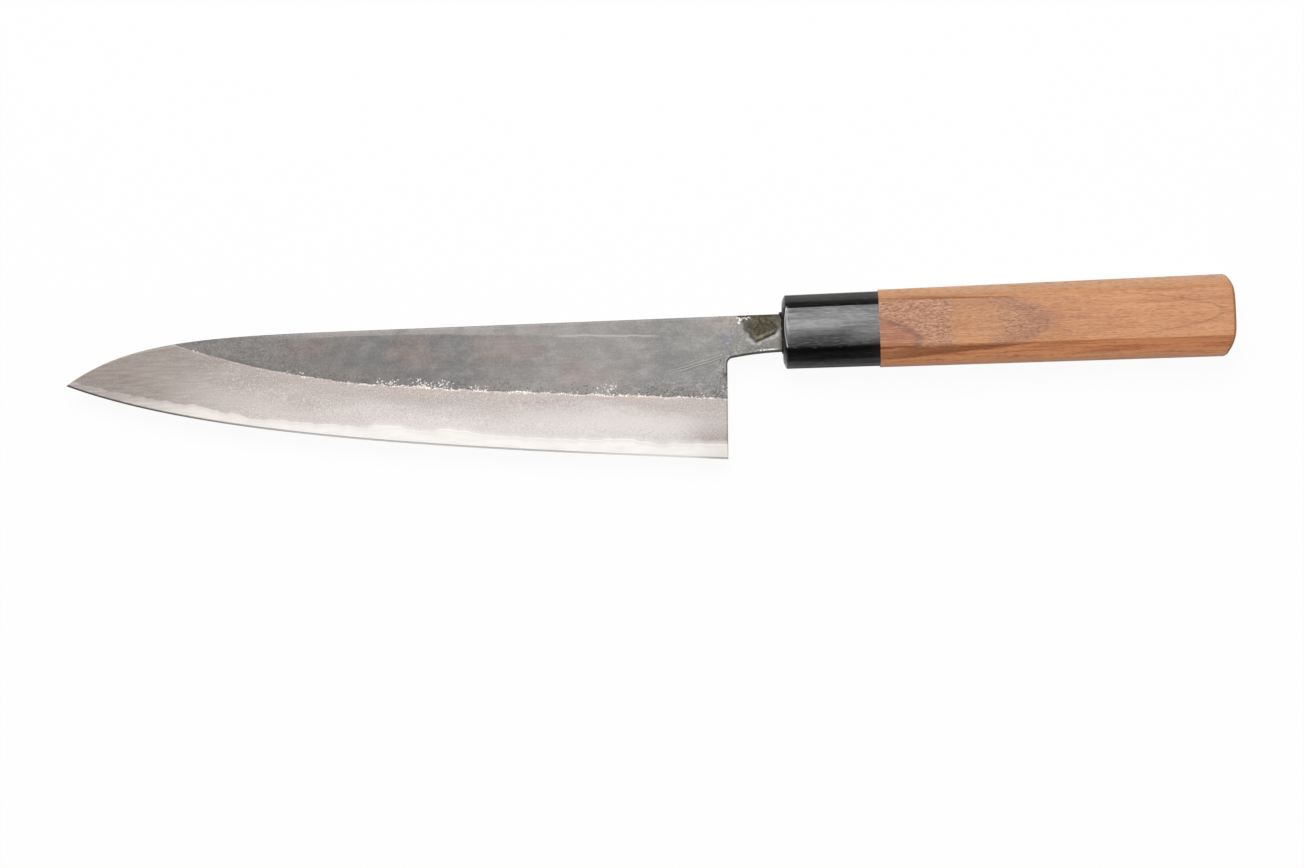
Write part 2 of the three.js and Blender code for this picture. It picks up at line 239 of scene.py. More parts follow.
# Columns across the blade from edge to spine. Each crosses the core's edge and the shoulder of the bevel.
shares = np.linspace(0, 1, BLADE_COLUMNS + 1)
column_low = along(edge_line, shares)
column_high = along(spine_line, shares)
column_run = column_high - column_low
probe = column_low[:, None] + column_run[:, None] * np.linspace(0, 1, PROBE_ROWS + 1)[None, :, None]
probe_height, probe_foot = over_edge(probe)
probe_height[:, 0] = 0
core_share = first_reach(half_thickness(probe_height, probe_foot) - core_half(probe[..., 0]))
sharpened_share = np.minimum(first_reach(probe_height - SHARPENED_HEIGHT), core_share)
shoulder_share = first_reach(probe_height - bevel_height(probe_foot))

# Behind the heel the columns run from the underside of the neck and tang up to their top.
neck_low = np.vstack([
    curve(NECK_STEPS, choil_start, choil, choil_end),
    curve(NECK_STEPS, choil_end, np.array([choil_end[0] / 2, neck_y]), np.array([0, neck_y]))[1:],
    [NECK_INSERT, neck_y],
    [NECK_INSERT + TANG_STEP, -TANG_ROOT_HEIGHT / 2],
    [tang_end, -TANG_END_HEIGHT / 2],
])
neck_x = np.linspace(heel_top[0], 0, len(neck_low) - 3)
neck_high = np.vstack([
    np.column_stack([neck_x, np.full(len(neck_x), spine_y)]),
    [NECK_INSERT, spine_y],
    [NECK_INSERT + TANG_STEP, TANG_ROOT_HEIGHT / 2],
    [tang_end, TANG_END_HEIGHT / 2],
])


def skin(name, rings, traits=None, ends=True, crease=()):
    """A closed piece skinned over rings of points. Traits are values per point for its material."""
    made = bmesh.new()
    layers = {trait: made.verts.layers.float.new(trait) for trait in traits or {}}
    sharp = made.verts.layers.int.new("sharp")
    rows = [[made.verts.new(point * MM) for point in ring] for ring in rings]
    for trait, layer in layers.items():
        for row, values in zip(rows, traits[trait]):
            for point, value in zip(row, values):
                point[layer] = value
    for row in rows:
        for place in crease:
            row[place][sharp] = 1
    for row, after in zip(rows, rows[1:]):
        for i in range(len(row)):
            made.faces.new((row[i - 1], row[i], after[i], after[i - 1]))
    if ends:
        made.faces.new(rows[0])
        made.faces.new(rows[-1])
    bmesh.ops.remove_doubles(made, verts=made.verts, dist=WELD_DISTANCE * MM)
    bmesh.ops.dissolve_degenerate(made, edges=made.edges, dist=WELD_DISTANCE * MM)
    bmesh.ops.recalc_face_normals(made, faces=made.faces)
    for face in made.faces:
        face.smooth = True
    for edge in made.edges:
        creased = edge.verts[0][sharp] and edge.verts[1][sharp]
        edge.smooth = not creased and edge.calc_face_angle(0) < math.radians(CREASE_ANGLE)
    made.verts.layers.int.remove(sharp)
    mesh = bpy.data.meshes.new(name)
    made.to_mesh(mesh)
    made.free()
    piece = bpy.data.objects.new(name, mesh)
    piece.location = mouth
    bpy.context.scene.collection.objects.link(piece)
    return piece


def fit(piece, material, node):
    """Gives a piece its material and puts it in the place of its CAD solid."""
    piece.data.materials.append(material)
    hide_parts(node)
    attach(piece, "root")


class Signal:
    """An output in a material's node tree. Arithmetic on it adds Math nodes."""

    def __init__(self, tree, socket=None):
        self.tree = tree
        self.socket = socket

    def node(self, kind, settings=None, inputs=None, output=0):
        made = self.tree.nodes.new(kind)
        for name, value in (settings or {}).items():
            setattr(made, name, value)
        for key, value in (inputs or {}).items():
            if isinstance(value, Signal):
                self.tree.links.new(value.socket, made.inputs[key])
            else:
                made.inputs[key].default_value = value
        return Signal(self.tree, made.outputs[output] if made.outputs else None)

    def math(self, operation, *values):
        return self.node("ShaderNodeMath", {"operation": operation}, dict(enumerate(values)))

    def __add__(self, other):
        return self.math("ADD", self, other)

    __radd__ = __add__

    def __sub__(self, other):
        return self.math("SUBTRACT", self, other)

    def __rsub__(self, other):
        return self.math("SUBTRACT", other, self)

    def __mul__(self, other):
        return self.math("MULTIPLY", self, other)

    __rmul__ = __mul__

    def __truediv__(self, other):
        return self.math("DIVIDE", self, other)

    def ramp(self, start, end):
        """Eased from 0 at start to 1 at end."""
        settings = {"interpolation_type": "SMOOTHSTEP"}
        return self.node("ShaderNodeMapRange", settings, {0: self, 1: start, 2: end})

    def bump_at(self, middle, reach):
        """1 at the middle, easing to 0 at this reach on both sides."""
        return self.math("ABSOLUTE", self - middle).ramp(reach, 0)

    def sway(self, amount):
        """Swings about 0 by this amount, for a value that lies about 0.5."""
        return (self - 0.5) * amount

    def mix(self, under, over):
        """Colour that goes from under to over as this goes from 0 to 1."""
        under, over = (shade(*colour) if isinstance(colour, tuple) else colour for colour in (under, over))
        return self.node("ShaderNodeMix", {"data_type": "RGBA"}, {0: self, 6: under, 7: over}, 2)

    def wash(self, *layers):
        """This colour under washes of others. Each has its amount first and then its colour."""
        colour = self
        for amount, *tone in layers:
            colour = amount.mix(colour, tone[0] if len(tone) == 1 else tuple(tone))
        return colour

    def noise(self, lengthways, crossways, detail=2, shift=0):
        """Cloudy values about 0.5 at this position, with these numbers of clouds per millimetre."""
        spread = self.node(
            "ShaderNodeVectorMath",
            {"operation": "MULTIPLY_ADD"},
            {0: self, 1: (lengthways, crossways, crossways), 2: (shift, shift * 1.7, shift * 2.3)},
        )
        return self.node("ShaderNodeTexNoise", {}, {"Vector": spread, "Scale": 1, "Detail": detail})

    def moved(self, **by):
        """This position moved along its axes."""
        step = self.node("ShaderNodeCombineXYZ", {}, by)
        return self.node("ShaderNodeVectorMath", {"operation": "ADD"}, {0: self, 1: step})

    def trait(self, name):
        return self.node("ShaderNodeAttribute", {"attribute_name": name}, output="Fac")

    def position(self):
        """Place in the piece in millimetres from the ferrule's mouth, and its three coordinates."""
        metres = self.node("ShaderNodeTexCoord", output="Object")
        place = self.node("ShaderNodeVectorMath", {"operation": "SCALE"}, {0: metres, "Scale": 1 / MM})
        return place, *(self.node("ShaderNodeSeparateXYZ", {}, {0: place}, axis) for axis in "XYZ")

    def relief(self, height, depth):
        """Surface normal roughened by a height from 0 to 1 that stands for a depth in millimetres."""
        inputs = {"Height": height, "Distance": depth * MM, "Strength": 1}
        return self.node("ShaderNodeBump", {}, inputs, "Normal")

    def surface(self, **inputs):
        named = {name.replace("_", " "): value for name, value in inputs.items()}
        shader = self.node("ShaderNodeBsdfPrincipled", {}, named)
        self.node("ShaderNodeOutputMaterial", {}, {"Surface": shader})


def new_material(name):
    made = bpy.data.materials.new(name)
    made.use_nodes = True
    made.node_tree.nodes.clear()
    return made, Signal(made.node_tree)


def shade(red, green, blue):
    """Colour written as it shows on screen, from 0 to 255."""
    levels = (value / 255 for value in (red, green, blue))
    return *(level / 12.92 if level < 0.04045 else ((level + 0.055) / 1.055) ** 2.4 for level in levels), 1


bright_steel, root = new_material("bright_core_steel")
place, x, y, _ = root.position()
height = root.trait("over_edge")
under_iron = root.trait("under_iron")
stone_lines = place.noise(0.1, 4, 3)
stone_haze = place.noise(0.14, 0.45, 3, 7)
behind_tip = x.ramp(-165, -125)
by_iron = (under_iron + stone_haze.sway(1.6)).ramp(1.7, 0) * (0.4 + 0.35 * behind_tip)
iron_tone = x.ramp(-200, -170).mix((132, 123, 118), (176, 169, 165))
iron_tone = iron_tone.wash((behind_tip, 198, 194, 191))
# Forge skin where the core reaches the spine. Behind the heel the neck's underside is painted dark as painted
# shade, and its top stays grey forge skin.
forge_skin_and_shade = root.math("MAXIMUM", height.ramp(12, 20), x.ramp(-19.1, -18.5))
# The sharpened band is painted: dark near the tip as painted shade of its steeper facet, pale further back as
# painted light.
sharpened = height.ramp(0.45, 0.2) * x.ramp(-50, -110)
# Painted light along the edge towards the heel, where the edge lies in shade.
painted_edge_light = height.ramp(0.7, 0.4) * x.ramp(-80, -46) * x.ramp(-22, -32)
steel = x.ramp(-222, -176).mix((132, 123, 119), (194, 188, 184)).wash(
    (x.ramp(-185, -140), 205, 202, 199),
    (x.ramp(-150, -40), 218, 215, 212),
    (x.ramp(-32, -19) * 0.5, 192, 184, 175),
    ((stone_haze - 0.3) * 0.5, 200, 195, 191),
    (stone_lines.ramp(0.4, 0.75) * 0.3, 220, 217, 215),
    (by_iron, iron_tone),
    (forge_skin_and_shade * 0.9, y.ramp(0, 4).mix((44, 40, 37), (118, 114, 111))),
    (painted_edge_light, 253, 251, 249),
    (sharpened * 0.85, x.ramp(-140, -205).mix((238, 233, 232), (66, 58, 57))),
)
root.surface(
    Base_Color=steel,
    Metallic=1,
    Roughness=0.45 + 0.1 * stone_haze,
    Normal=root.relief(stone_lines, 0.003),
)

# Points of the left half: place, half the thickness, height over the edge and depth under the iron.
core_rows = np.concatenate([[0], np.linspace(0, 1, CORE_ROWS)])
core_at = sharpened_share[:, None] + (core_share - sharpened_share)[:, None] * core_rows
core_at[:, 0] = 0
core_flat = column_low[:, None] + column_run[:, None] * core_at[..., None]
core_height, core_foot = over_edge(core_flat)
core_height[:, 0] = 0
core_face = np.dstack([
    core_flat,
    half_thickness(core_height, core_foot),
    core_height,
    core_height[:, -1:] - core_height,
])
core_face = np.concatenate([core_face, core_face[:, -1:]], axis=1)
core_face[:, -1, :2] = column_high
core_face[:, -1, 3] = over_edge(column_high)[0]
tail_face = np.zeros((len(neck_low), *core_face.shape[1:]))
tail_face[..., :2] = neck_low[:, None]
tail_face[:, -1, :2] = neck_high
tail_face[..., 2] = core_half(neck_low[:, 0])[:, None]
tail_face[..., 3] = spine_y - heel_y
left_half = np.vstack([core_face, tail_face])
right_half = left_half[:, ::-1] * (1, 1, -1, 1, 1)
core_rings = np.concatenate([left_half, right_half], axis=1)
core_traits = {"over_edge": core_rings[..., 3], "under_iron": core_rings[..., 4]}
core = skin("core", core_rings[..., :3], core_traits, crease=(1, 2 * len(core_rows)))
fit(core, bright_steel, "core_steel")

# Claddings: the two soft iron layers forge-welded to the core. Above the shoulder line they keep the dark
# skin of forge scale; below it a wide bevel is ground on water stones, which leaves the iron misty grey.
BEVEL_ROWS = 26
FLAT_ROWS = 34
SPINE_EASE = 0.3
SPINE_EASE_SHARE = 0.4
SCALE_SWELL = 0.02
SCALE_SWELL_LENGTH = 5.0
SCALE_SWELL_RISE = 2.0
RIGHT_SHIFT = 200

# Where the scale has flaked off along the shoulder: middle, half length, how far up and how much of it.
FLAKED = (
    (-187, 6, 1.2, 0.3),
    (-153, 7, 3.2, 0.6),
    (-125, 6, 3.4, 1.0),
    (-116, 5, 3.6, 1.0),
    (-109, 7, 3.4, 1.1),
    (-96, 6, 2.4, 0.9),
    (-83, 6, 1.1, 1.3),
    (-70, 10, 1.6, 0.6),
    (-56.5, 5.5, 6.0, 1.05),
    (-43, 11, 1.6, 0.6),
    (-25, 9, 2.2, 0.5),
)
FLECKS_PER_MM = 1.55

# Heat tints in the scale of the left face: middle along and across, half length and half width.
BROWN_TINTS = ((-153, 0.8, 11, 4), (-117, -1, 8, 7), (-90, -2, 12, 7), (-65, -11, 9, 5), (-19, 4.6, 8, 2))
COOL_TINTS = (
    (-130, -2, 16, 8), (-105, -1.5, 7, 6), (-83, -5, 8, 5),
    (-107, -9.5, 21, 4.5), (-40, -14, 13, 5),
)
NECK_LILAC = ((-17.6, -3.6, 2.6, 5.4),)
NECK_GREEN = ((-18.8, 0.6, 2.8, 2.4), (-11, -3.4, 3.6, 3), (-14, -1.6, 2.2, 2))
NECK_YELLOW = ((-13.7, -4.4, 3.2, 2), (-16, 2.6, 2.6, 2.4))

# Scratches that slant down from the choil: height and strength of each, and their slope.
SCRATCHES = ((-8, 0.7), (-7.2, 0.65), (-6.1, 0.25), (-9.3, 0.2))
SCRATCH_SLOPE = 0.269

# Lacquer burnt on to the left of the neck: its outline from the spine round its point and back, its
# darkest spot, and the spots where it has flaked.
LACQUER = ((-13.2, 5.7), (-12.5, 3), (-11.6, 0.2), (-8.5, -3), (-2.4, -0.6), (-0.6, 2.5), (-0.6, 5.7))
LACQUER_DARK = ((-4.6, 1.4, 2.8, 2.2),)
LACQUER_FLAKED = (
    (-13.1, 4.4, 0.7, 0.9), (-13.5, 3.4, 0.6, 0.8),
    (-13.9, 4.8, 0.7, 0.5), (-11.2, 4.8, 1.6, 0.5),
)


def cladding_rings():
    """Rings round the left cladding: bevel, flat, eased spine, then back along the face on the core."""
    # From the tip to the first column the core is bare up to the spine.
    first = np.argmax(core_share[1:] < 0.999)
    lows = np.vstack([column_low[first:], neck_low])
    runs = np.vstack([column_high[first:], neck_high]) - lows
    lengths = np.linalg.norm(runs, axis=1)
    core_ends = column_low + column_run * core_share[:, None]
    inner = np.concatenate([half_thickness(*over_edge(core_ends[first:])), core_half(neck_low[:, 0])])
    room = np.maximum(half_thickness(*over_edge(lows + runs)) - inner, 0)
    ease = np.minimum(SPINE_EASE, SPINE_EASE_SHARE * room)
    tops = 1 - ease / lengths

    blade_tops, neck_tops = np.split(tops, [-len(neck_low)])
    low = np.minimum(core_share[first:], blade_tops)
    shoulder = np.clip(shoulder_share[first:], low, blade_tops)
    bevel = low[:, None] + (shoulder - low)[:, None] * np.linspace(0, 1, BEVEL_ROWS + 1)
    flat = shoulder[:, None] + (blade_tops - shoulder)[:, None] * np.linspace(0, 1, FLAT_ROWS + 1)[1:]
    at = np.concatenate([bevel, flat], axis=1)

    # Behind the heel the rows that start below the neck close up on its underside.
    rise = at[-1] * np.linalg.norm(column_run[-1]) - np.linalg.norm(choil_start - heel)
    at = np.vstack([at, np.clip(rise / rise[-1], 0, 1) * neck_tops[:, None]])

    points = lows[:, None] + runs[:, None] * at[..., None]
    height, foot = over_edge(points)
    thick = half_thickness(height, foot)
    over_shoulder = height - bevel_height(foot)
    for i, j in np.ndindex(thick.shape):
        swell = noise.noise(Vector((*points[i, j], 0)) / SCALE_SWELL_LENGTH)
        thick[i, j] += SCALE_SWELL * swell * min(max(over_shoulder[i, j] / SCALE_SWELL_RISE, 0), 1)
    rings = [np.concatenate([points, thick[..., None]], axis=2)]
    for turn in np.radians([30, 60, 90]):
        back = 1 - ease * (1 - math.sin(turn)) / lengths
        edge_points = lows + runs * back[:, None]
        rings.append(np.column_stack([edge_points, thick[:, -1] - ease * (1 - math.cos(turn))])[:, None])
    rings.append(np.column_stack([lows + runs, inner])[:, None])
    rings.append(np.column_stack([points[:, 0], inner])[:, None])
    back_edge = np.vstack([
        np.linspace(heel, choil_start, CURVE_STEPS // 2),
        along(neck_low, np.linspace(0, 1, 2 * CURVE_STEPS)),
    ])
    nearest_back = nearest_on(back_edge)
    traits = {
        "over_core": height - height[:, :1],
        "over_shoulder": over_shoulder,
        "under_spine": (1 - at) * lengths[:, None],
        "from_back": np.array([[nearest_back.find((*point, 0))[2] for point in row] for row in points]),
    }

    # The four rows on the spine take the values of the row before them, the last row those of the first.
    for name, values in traits.items():
        traits[name] = np.concatenate([values, values[:, [-1, -1, -1, -1, 0]]], axis=1)
    traits["under_spine"][:, -5:-1] = 0
    return np.concatenate(rings, axis=1), traits


def tinted(x, y, tints):
    """How strongly these tints show: 1 in the middle of each, easing to 0 at its rim."""
    amount = 0
    for along_blade, across_blade, length, width in tints:
        run = (x - along_blade) / length
        rise = (y - across_blade) / width
        amount = (run * run + rise * rise).ramp(1, 0.1) + amount
    return amount


def forged_iron(name, shift, left):
    """Iron cladding. Stains on the left face are placed one by one, those on the right are left to chance."""
    made, root = new_material(name)
    place, x, y, _ = root.position()
    over_core = root.trait("over_core")
    over_shoulder = root.trait("over_shoulder")
    under_spine = root.trait("under_spine")
    from_back = root.trait("from_back")

    # The scale ends in a clean arc near the tip and frays behind it.
    ragged = x.ramp(-166, -148)
    wander = place.noise(0.2, 0.2, 3, shift).sway(0.4 + 1.2 * ragged)
    fray = place.noise(1.6, 2, 4, shift + 3).sway(0.5 + 1.1 * ragged)
    over_line = over_shoulder + wander + fray
    scale_here = over_line.ramp(-0.14, 0.14)

    # Forge scale: warm grey, paler towards the heel and along the spine, with brown and cool tints.
    clouds = place.noise(0.07, 0.13, 4, shift + 11)
    blots = place.noise(0.2, 0.3, 4, shift + 23)
    mottle = place.noise(0.5, 0.8, 4, shift + 27)
    streaks = place.noise(0.05, 2.4, 2, shift + 31)
    speckle = place.noise(1.7, 2.1, 2, shift + 37)
    to_heel = x.ramp(-128, -60)
    if left:
        drift_x = x + clouds.sway(26)
        drift_y = y + blots.sway(10)
        cool = tinted(drift_x, drift_y, COOL_TINTS)
        brown = tinted(drift_x, drift_y, BROWN_TINTS)
    else:
        cool = clouds.ramp(0.5, 0.6)
        brown = clouds.ramp(0.5, 0.4) * blots.ramp(0.4, 0.6)
    strip = under_spine - 1.8 * x.ramp(-114, -86) + place.noise(0.06, 0.3, 3, shift + 33).sway(2.2)
    strip = strip.ramp(2, 1.4) * x.ramp(-182, -150) * x.ramp(-54, -86)
    scale = to_heel.mix((119, 115, 113), (140, 136, 133)).wash(
        (x.ramp(-54, -34), 126, 125, 123),
        (cool * 0.7, to_heel.mix((106, 106, 107), (123, 122, 122))),
        (strip * 0.9, x.ramp(-165, -140).mix((140, 135, 132), (156, 151, 148))),
        (brown * (0.8 - 0.6 * strip), to_heel.mix((127, 114, 109), (148, 134, 130))),
        (x.ramp(-56, -44) * over_shoulder.bump_at(7, 4.5) * 0.5, 140, 139, 137),
        (x.ramp(-50, -40) * over_shoulder.ramp(3.5, 1) * 0.4, 106, 101, 99),
        (x.ramp(-36, -24) * y.ramp(-12, -6) * 0.35, 150, 148, 144),
        (x.ramp(-20, -17) * y.ramp(-5, -1) * 0.25, 156, 152, 145),
    )
    low_down = over_shoulder.ramp(9, 1) * x.ramp(-75, -35)
    rough_scale = 0.1 + 0.3 * root.math("MAXIMUM", low_down, from_back.ramp(6, 1))
    rough_scale = rough_scale + 0.25 * x.ramp(-140, -165) + 0.25 * x.ramp(-19, -16)
    speckled = 0.15 + rough_scale
    paler = to_heel.mix((146, 141, 138), (168, 164, 161))
    darker = to_heel.mix((92, 89, 88), (114, 111, 109))
    for pattern, strength in ((blots, 0.33), (mottle, rough_scale), (streaks, 0.13), (speckle, speckled)):
        scale = scale.wash(
            (pattern.ramp(0.5, 0.68) * strength, paler),
            (pattern.ramp(0.5, 0.34) * strength, darker),
        )
    if left:
        ripple = place.noise(0.1, 0.1, 3, shift + 35).sway(2)
        pale_line = (y + 0.045 * (x + 70) + ripple).bump_at(1.4, 0.5)
        pale_line = pale_line * x.ramp(-74, -69) * x.ramp(-37, -43)
        scale = scale.wash((pale_line * 0.7, 180, 176, 173))

    # Ground bevel: misty pinkish grey, palest towards the edge, browner towards the tip and the heel.
    mist = place.noise(0.05, 0.16, 3, shift + 41)
    grit = place.noise(2.2, 2.4, 4, shift + 43)
    strokes = place.noise(0.16, 1.8, 3, shift + 47)
    low_bevel = x.ramp(-212, -160).mix((122, 113, 107), (176, 168, 164))
    low_bevel = low_bevel.wash((x.ramp(-165, -105), 194, 189, 186))
    high_bevel = x.ramp(-205, -140).mix((119, 110, 105), (155, 146, 142))
    high_bevel = high_bevel.wash((x.ramp(-110, -80), 162, 153, 149))
    climb = (over_shoulder + mist.sway(9)).ramp(-13.5, -1.5)
    heel_stain = x.ramp(-36, -22) * (over_core + mist.sway(7)).ramp(9, 1)
    gritty = 0.1 + 0.25 * x.ramp(-195, -165)
    pale_middle = x.bump_at(-52, 44) * (over_shoulder + mist.sway(6)).bump_at(-8, 6.5)
    to_core = (over_core + mist.sway(1.5)).ramp(1.5, 0) * (0.25 + 0.5 * x.ramp(-165, -120))
    core_tone = x.ramp(-205, -170).mix((136, 128, 123), (184, 177, 173))
    core_tone = core_tone.wash((x.ramp(-170, -125), 203, 199, 196))
    yellowed = over_shoulder.bump_at(-0.6, 2.4) * x.bump_at(-113, 16)
    yellowed = yellowed + over_shoulder.bump_at(-0.6, 1.6) * x.bump_at(-45, 14)
    bevel = climb.mix(low_bevel, high_bevel).wash(
        (x.ramp(-38, -22) * 0.6, 158, 150, 146),
        (heel_stain * 0.5, 140, 128, 120),
        ((strokes - 0.35) * 0.4, 202, 196, 192),
        (grit.ramp(0.5, 0.7) * gritty, 126, 117, 112),
        (grit.ramp(0.48, 0.3) * gritty, 216, 210, 207),
        (pale_middle * 0.45, 207, 202, 199),
        (to_core, core_tone),
        (yellowed * 0.22, 184, 166, 144),
    )

    # A thin bright line under the scale, a painted shadow where it ends, and bare flecks where it has come
    # away.
    breaks = place.noise(0.35, 0.35, 3, shift + 51)
    rim = over_line.bump_at(-0.28, 0.36) * (0.3 + 0.7 * x.ramp(-150, -128)) * breaks.ramp(0.36, 0.56)
    bevel = bevel.wash((rim * 0.6, 220, 213, 209))
    scale = scale.wash(
        (over_shoulder.ramp(2, 0.2) * x.bump_at(-170, 16) * 0.5, 92, 88, 86),
        # Painted shadow of the scale's edge along its ragged line.
        (over_line.bump_at(0.2, 0.4) * ragged * breaks.ramp(0.6, 0.4) * 0.5, 92, 82, 78),
    )
    flaked = 0
    for middle, reach, rise, amount in FLAKED:
        flaked = x.bump_at(middle, reach) * over_shoulder.ramp(rise, 0) * amount + flaked
    flaked = flaked * over_shoulder.ramp(-0.9, -0.1)
    spots = {"Vector": place, "Scale": FLECKS_PER_MM}
    spot_far = root.node("ShaderNodeTexVoronoi", {}, spots, "Distance") + grit.sway(1.2)
    spot_colour = root.node("ShaderNodeTexVoronoi", {}, spots, "Color")
    lot = root.node("ShaderNodeSeparateColor", {}, {0: spot_colour}, "Red")
    other_lot = root.node("ShaderNodeSeparateColor", {}, {0: spot_colour}, "Green")
    spot = spot_far.ramp(0.5, 0.34)
    chip = (flaked - lot).ramp(0, 0.1) * spot
    near = over_shoulder.ramp(5, 0.5) * over_shoulder.ramp(-0.8, 0.2) * ragged
    near = near * (0.35 + 0.25 * x.ramp(-50, -40))
    by_heel_edge = x.ramp(-24, -19.5) * y.ramp(-23, -18) * y.ramp(-7, -10)
    pit = (near + by_heel_edge * 0.6 - other_lot).ramp(0, 0.1) * spot
    colour = scale_here.mix(bevel, scale).wash(
        (pit * 0.6, 76, 68, 65),
        (chip * (0.55 + 0.4 * other_lot), 228, 223, 220),
    )
    rough = 0.5 + 0.06 * scale_here
    metallic = 0.9 - 0.5 * scale_here
    relief = streaks * 0.3 + speckle * 0.5 + chip * 0.4

    # Scratches, a painted highlight on the neck and painted shade along the heel, choil and underside of the
    # neck.
    rising = y - SCRATCH_SLOPE * (x + 20.1) + place.noise(0.2, 0.2, 2, shift + 61).sway(0.6)
    for offset, strength in SCRATCHES:
        scratch = x.ramp(-37, -32) * x.ramp(-18.5, -21) * strength * scale_here
        colour = colour.wash(
            (rising.bump_at(offset, 0.2) * scratch, 92, 90, 89),
            (rising.bump_at(offset + 0.3, 0.2) * scratch, 176, 173, 170),
        )
    # Painted highlight on the neck's lower edge, and painted shade on the heel, the choil and the neck's
    # underside.
    painted_highlight_line = from_back.bump_at(0.66, 0.3) * x.ramp(-8.4, -7.2) * x.ramp(-1.8, -3.2)
    painted_highlight_line = painted_highlight_line * (1 - 0.7 * x.bump_at(-5.2, 0.8)) * speckle.ramp(0.36, 0.5)
    painted_underside_shade = from_back.ramp(0.6, 0.2) * (0.4 + 0.55 * y.ramp(-18, -9))
    rust = mottle.ramp(0.42, 0.56) * from_back.ramp(2.2, 0.7) * y.bump_at(-13.4, 2.6) * x.ramp(-17, -18)
    bared = speckle.ramp(0.48, 0.58) * from_back.ramp(2.6, 1) * y.bump_at(-17.6, 2.6)
    colour = colour.wash(
        (painted_highlight_line * 0.9, 248, 246, 243),
        (painted_underside_shade, 32, 29, 26),
        (rust * 0.85, 66, 48, 42),
        (bared * 0.7, 190, 192, 198),
    )

    if left:
        # Lacquer burnt on to the neck, and the heat tints round it.
        low_edge = x.ramp(-10, -7) * y.ramp(1.5, -0.5)
        lap = place.noise(0.55, 0.55, 2, 61).sway(2) + speckle.sway(1.6) + 0.25
        inside = 9
        for (from_x, from_y), (to_x, to_y) in zip(LACQUER, LACQUER[1:]):
            length = math.hypot(to_x - from_x, to_y - from_y)
            side = ((y - from_y) * (to_x - from_x) - (x - from_x) * (to_y - from_y)) / length
            inside = root.math("MINIMUM", side, inside)
        inside = inside + lap * (1 - 0.85 * low_edge)
        lacquer = inside.ramp(-0.3, 0.6)
        drift = place.noise(0.3, 0.3, 3, 67)
        drift_x = x + drift.sway(5)
        drift_y = y + drift.sway(4)
        patchy = place.noise(0.8, 1, 4, 69).ramp(0.4, 0.62)
        under = y.ramp(-1, -5) * x.ramp(-14, -8) * from_back.ramp(0.8, 1.3)
        chalky = inside.bump_at(-0.8, 0.8) * y.ramp(1, -1) * mottle.ramp(0.46, 0.58)
        flow = place.noise(0.4, 0.5, 4, 71)
        flowed = place.moved(X=flow.sway(4), Y=drift.sway(4))
        smear = flowed.noise(0.8, 0.5, 4, 73)
        crust = flowed.noise(2.6, 2.2, 3, 75)
        thick = (x + flow.sway(6)).ramp(-12, -7.5)
        pooled = inside.bump_at(1.2, 0.8) * low_edge * (0.5 + 0.5 * smear.ramp(0.4, 0.6))
        lacquer_colour = thick.mix((74, 70, 61), (60, 51, 22)).wash(
            # The pale smears are partly painted highlight of the lacquer's gloss.
            (smear.ramp(0.5, 0.62) * 0.6, 124, 115, 88),
            (smear.ramp(0.48, 0.38) * 0.7, 40, 33, 14),
            (tinted(x, y, LACQUER_DARK) * 0.6, 50, 42, 16),
            (crust.ramp(0.52, 0.64) * 0.3, 140, 131, 108),
            (crust.ramp(0.48, 0.36) * 0.4, 32, 27, 17),
            (pooled * (0.5 + 0.4 * x.ramp(-3.5, -6.5)), 168, 158, 128),
        )
        worn = 1 - 0.5 * (x + flow.sway(4)).ramp(-2.4, -0.4)
        flakes = place.noise(1.6, 1.6, 3, 83)
        crumbs = tinted(x + flakes.sway(1.6), y + speckle.sway(1.6), LACQUER_FLAKED)
        dashes = place.noise(1.5, 0.4, 2, 79).ramp(0.44, 0.5) * y.ramp(5, 5.4)
        dashes = dashes * x.ramp(-14.6, -13.8) * x.ramp(-9, -9.8)
        singed = y.ramp(4.2, 5.2) * x.ramp(-10.5, -9) * crust.ramp(0.5, 0.6)
        colour = colour.wash(
            (tinted(drift_x, drift_y, NECK_LILAC) * patchy * 0.7, 116, 114, 126),
            (tinted(drift_x, drift_y, NECK_GREEN) * patchy * 0.45, 120, 125, 122),
            (tinted(drift_x, drift_y, NECK_YELLOW) * patchy * 0.5, 152, 145, 122),
            (under * 0.7, 112, 110, 104),
            (under * mottle.ramp(0.48, 0.6) * 0.5, 84, 82, 76),
            (chalky * 0.6, 188, 184, 180),
            (lacquer * worn * (0.8 + 0.15 * thick), lacquer_colour),
            (inside.bump_at(0.2, 0.45) * low_edge, 34, 27, 12),
            (inside.bump_at(-0.6, 0.4) * low_edge * 0.35, 176, 170, 156),
            (x.bump_at(-13, 2.2) * y.ramp(3, 4.6) * 0.6, 96, 91, 86),
            (crumbs.ramp(0.2, 0.7) * flakes.ramp(0.4, 0.52), 232, 229, 225),
            (dashes * 0.9, 16, 14, 13),
            # Painted shade on the neck where it goes into the ferrule's mouth.
            (x.ramp(-1.8, -0.2) * 0.55, 66, 60, 50),
            (singed * 0.7, 40, 35, 29),
        )
        rough = rough + 0.2 * lacquer
        relief = relief + lacquer * (0.8 + flow)
        metallic = metallic * (1 - lacquer)
    root.surface(Base_Color=colour, Metallic=metallic, Roughness=rough, Normal=root.relief(relief, 0.015))
    return made


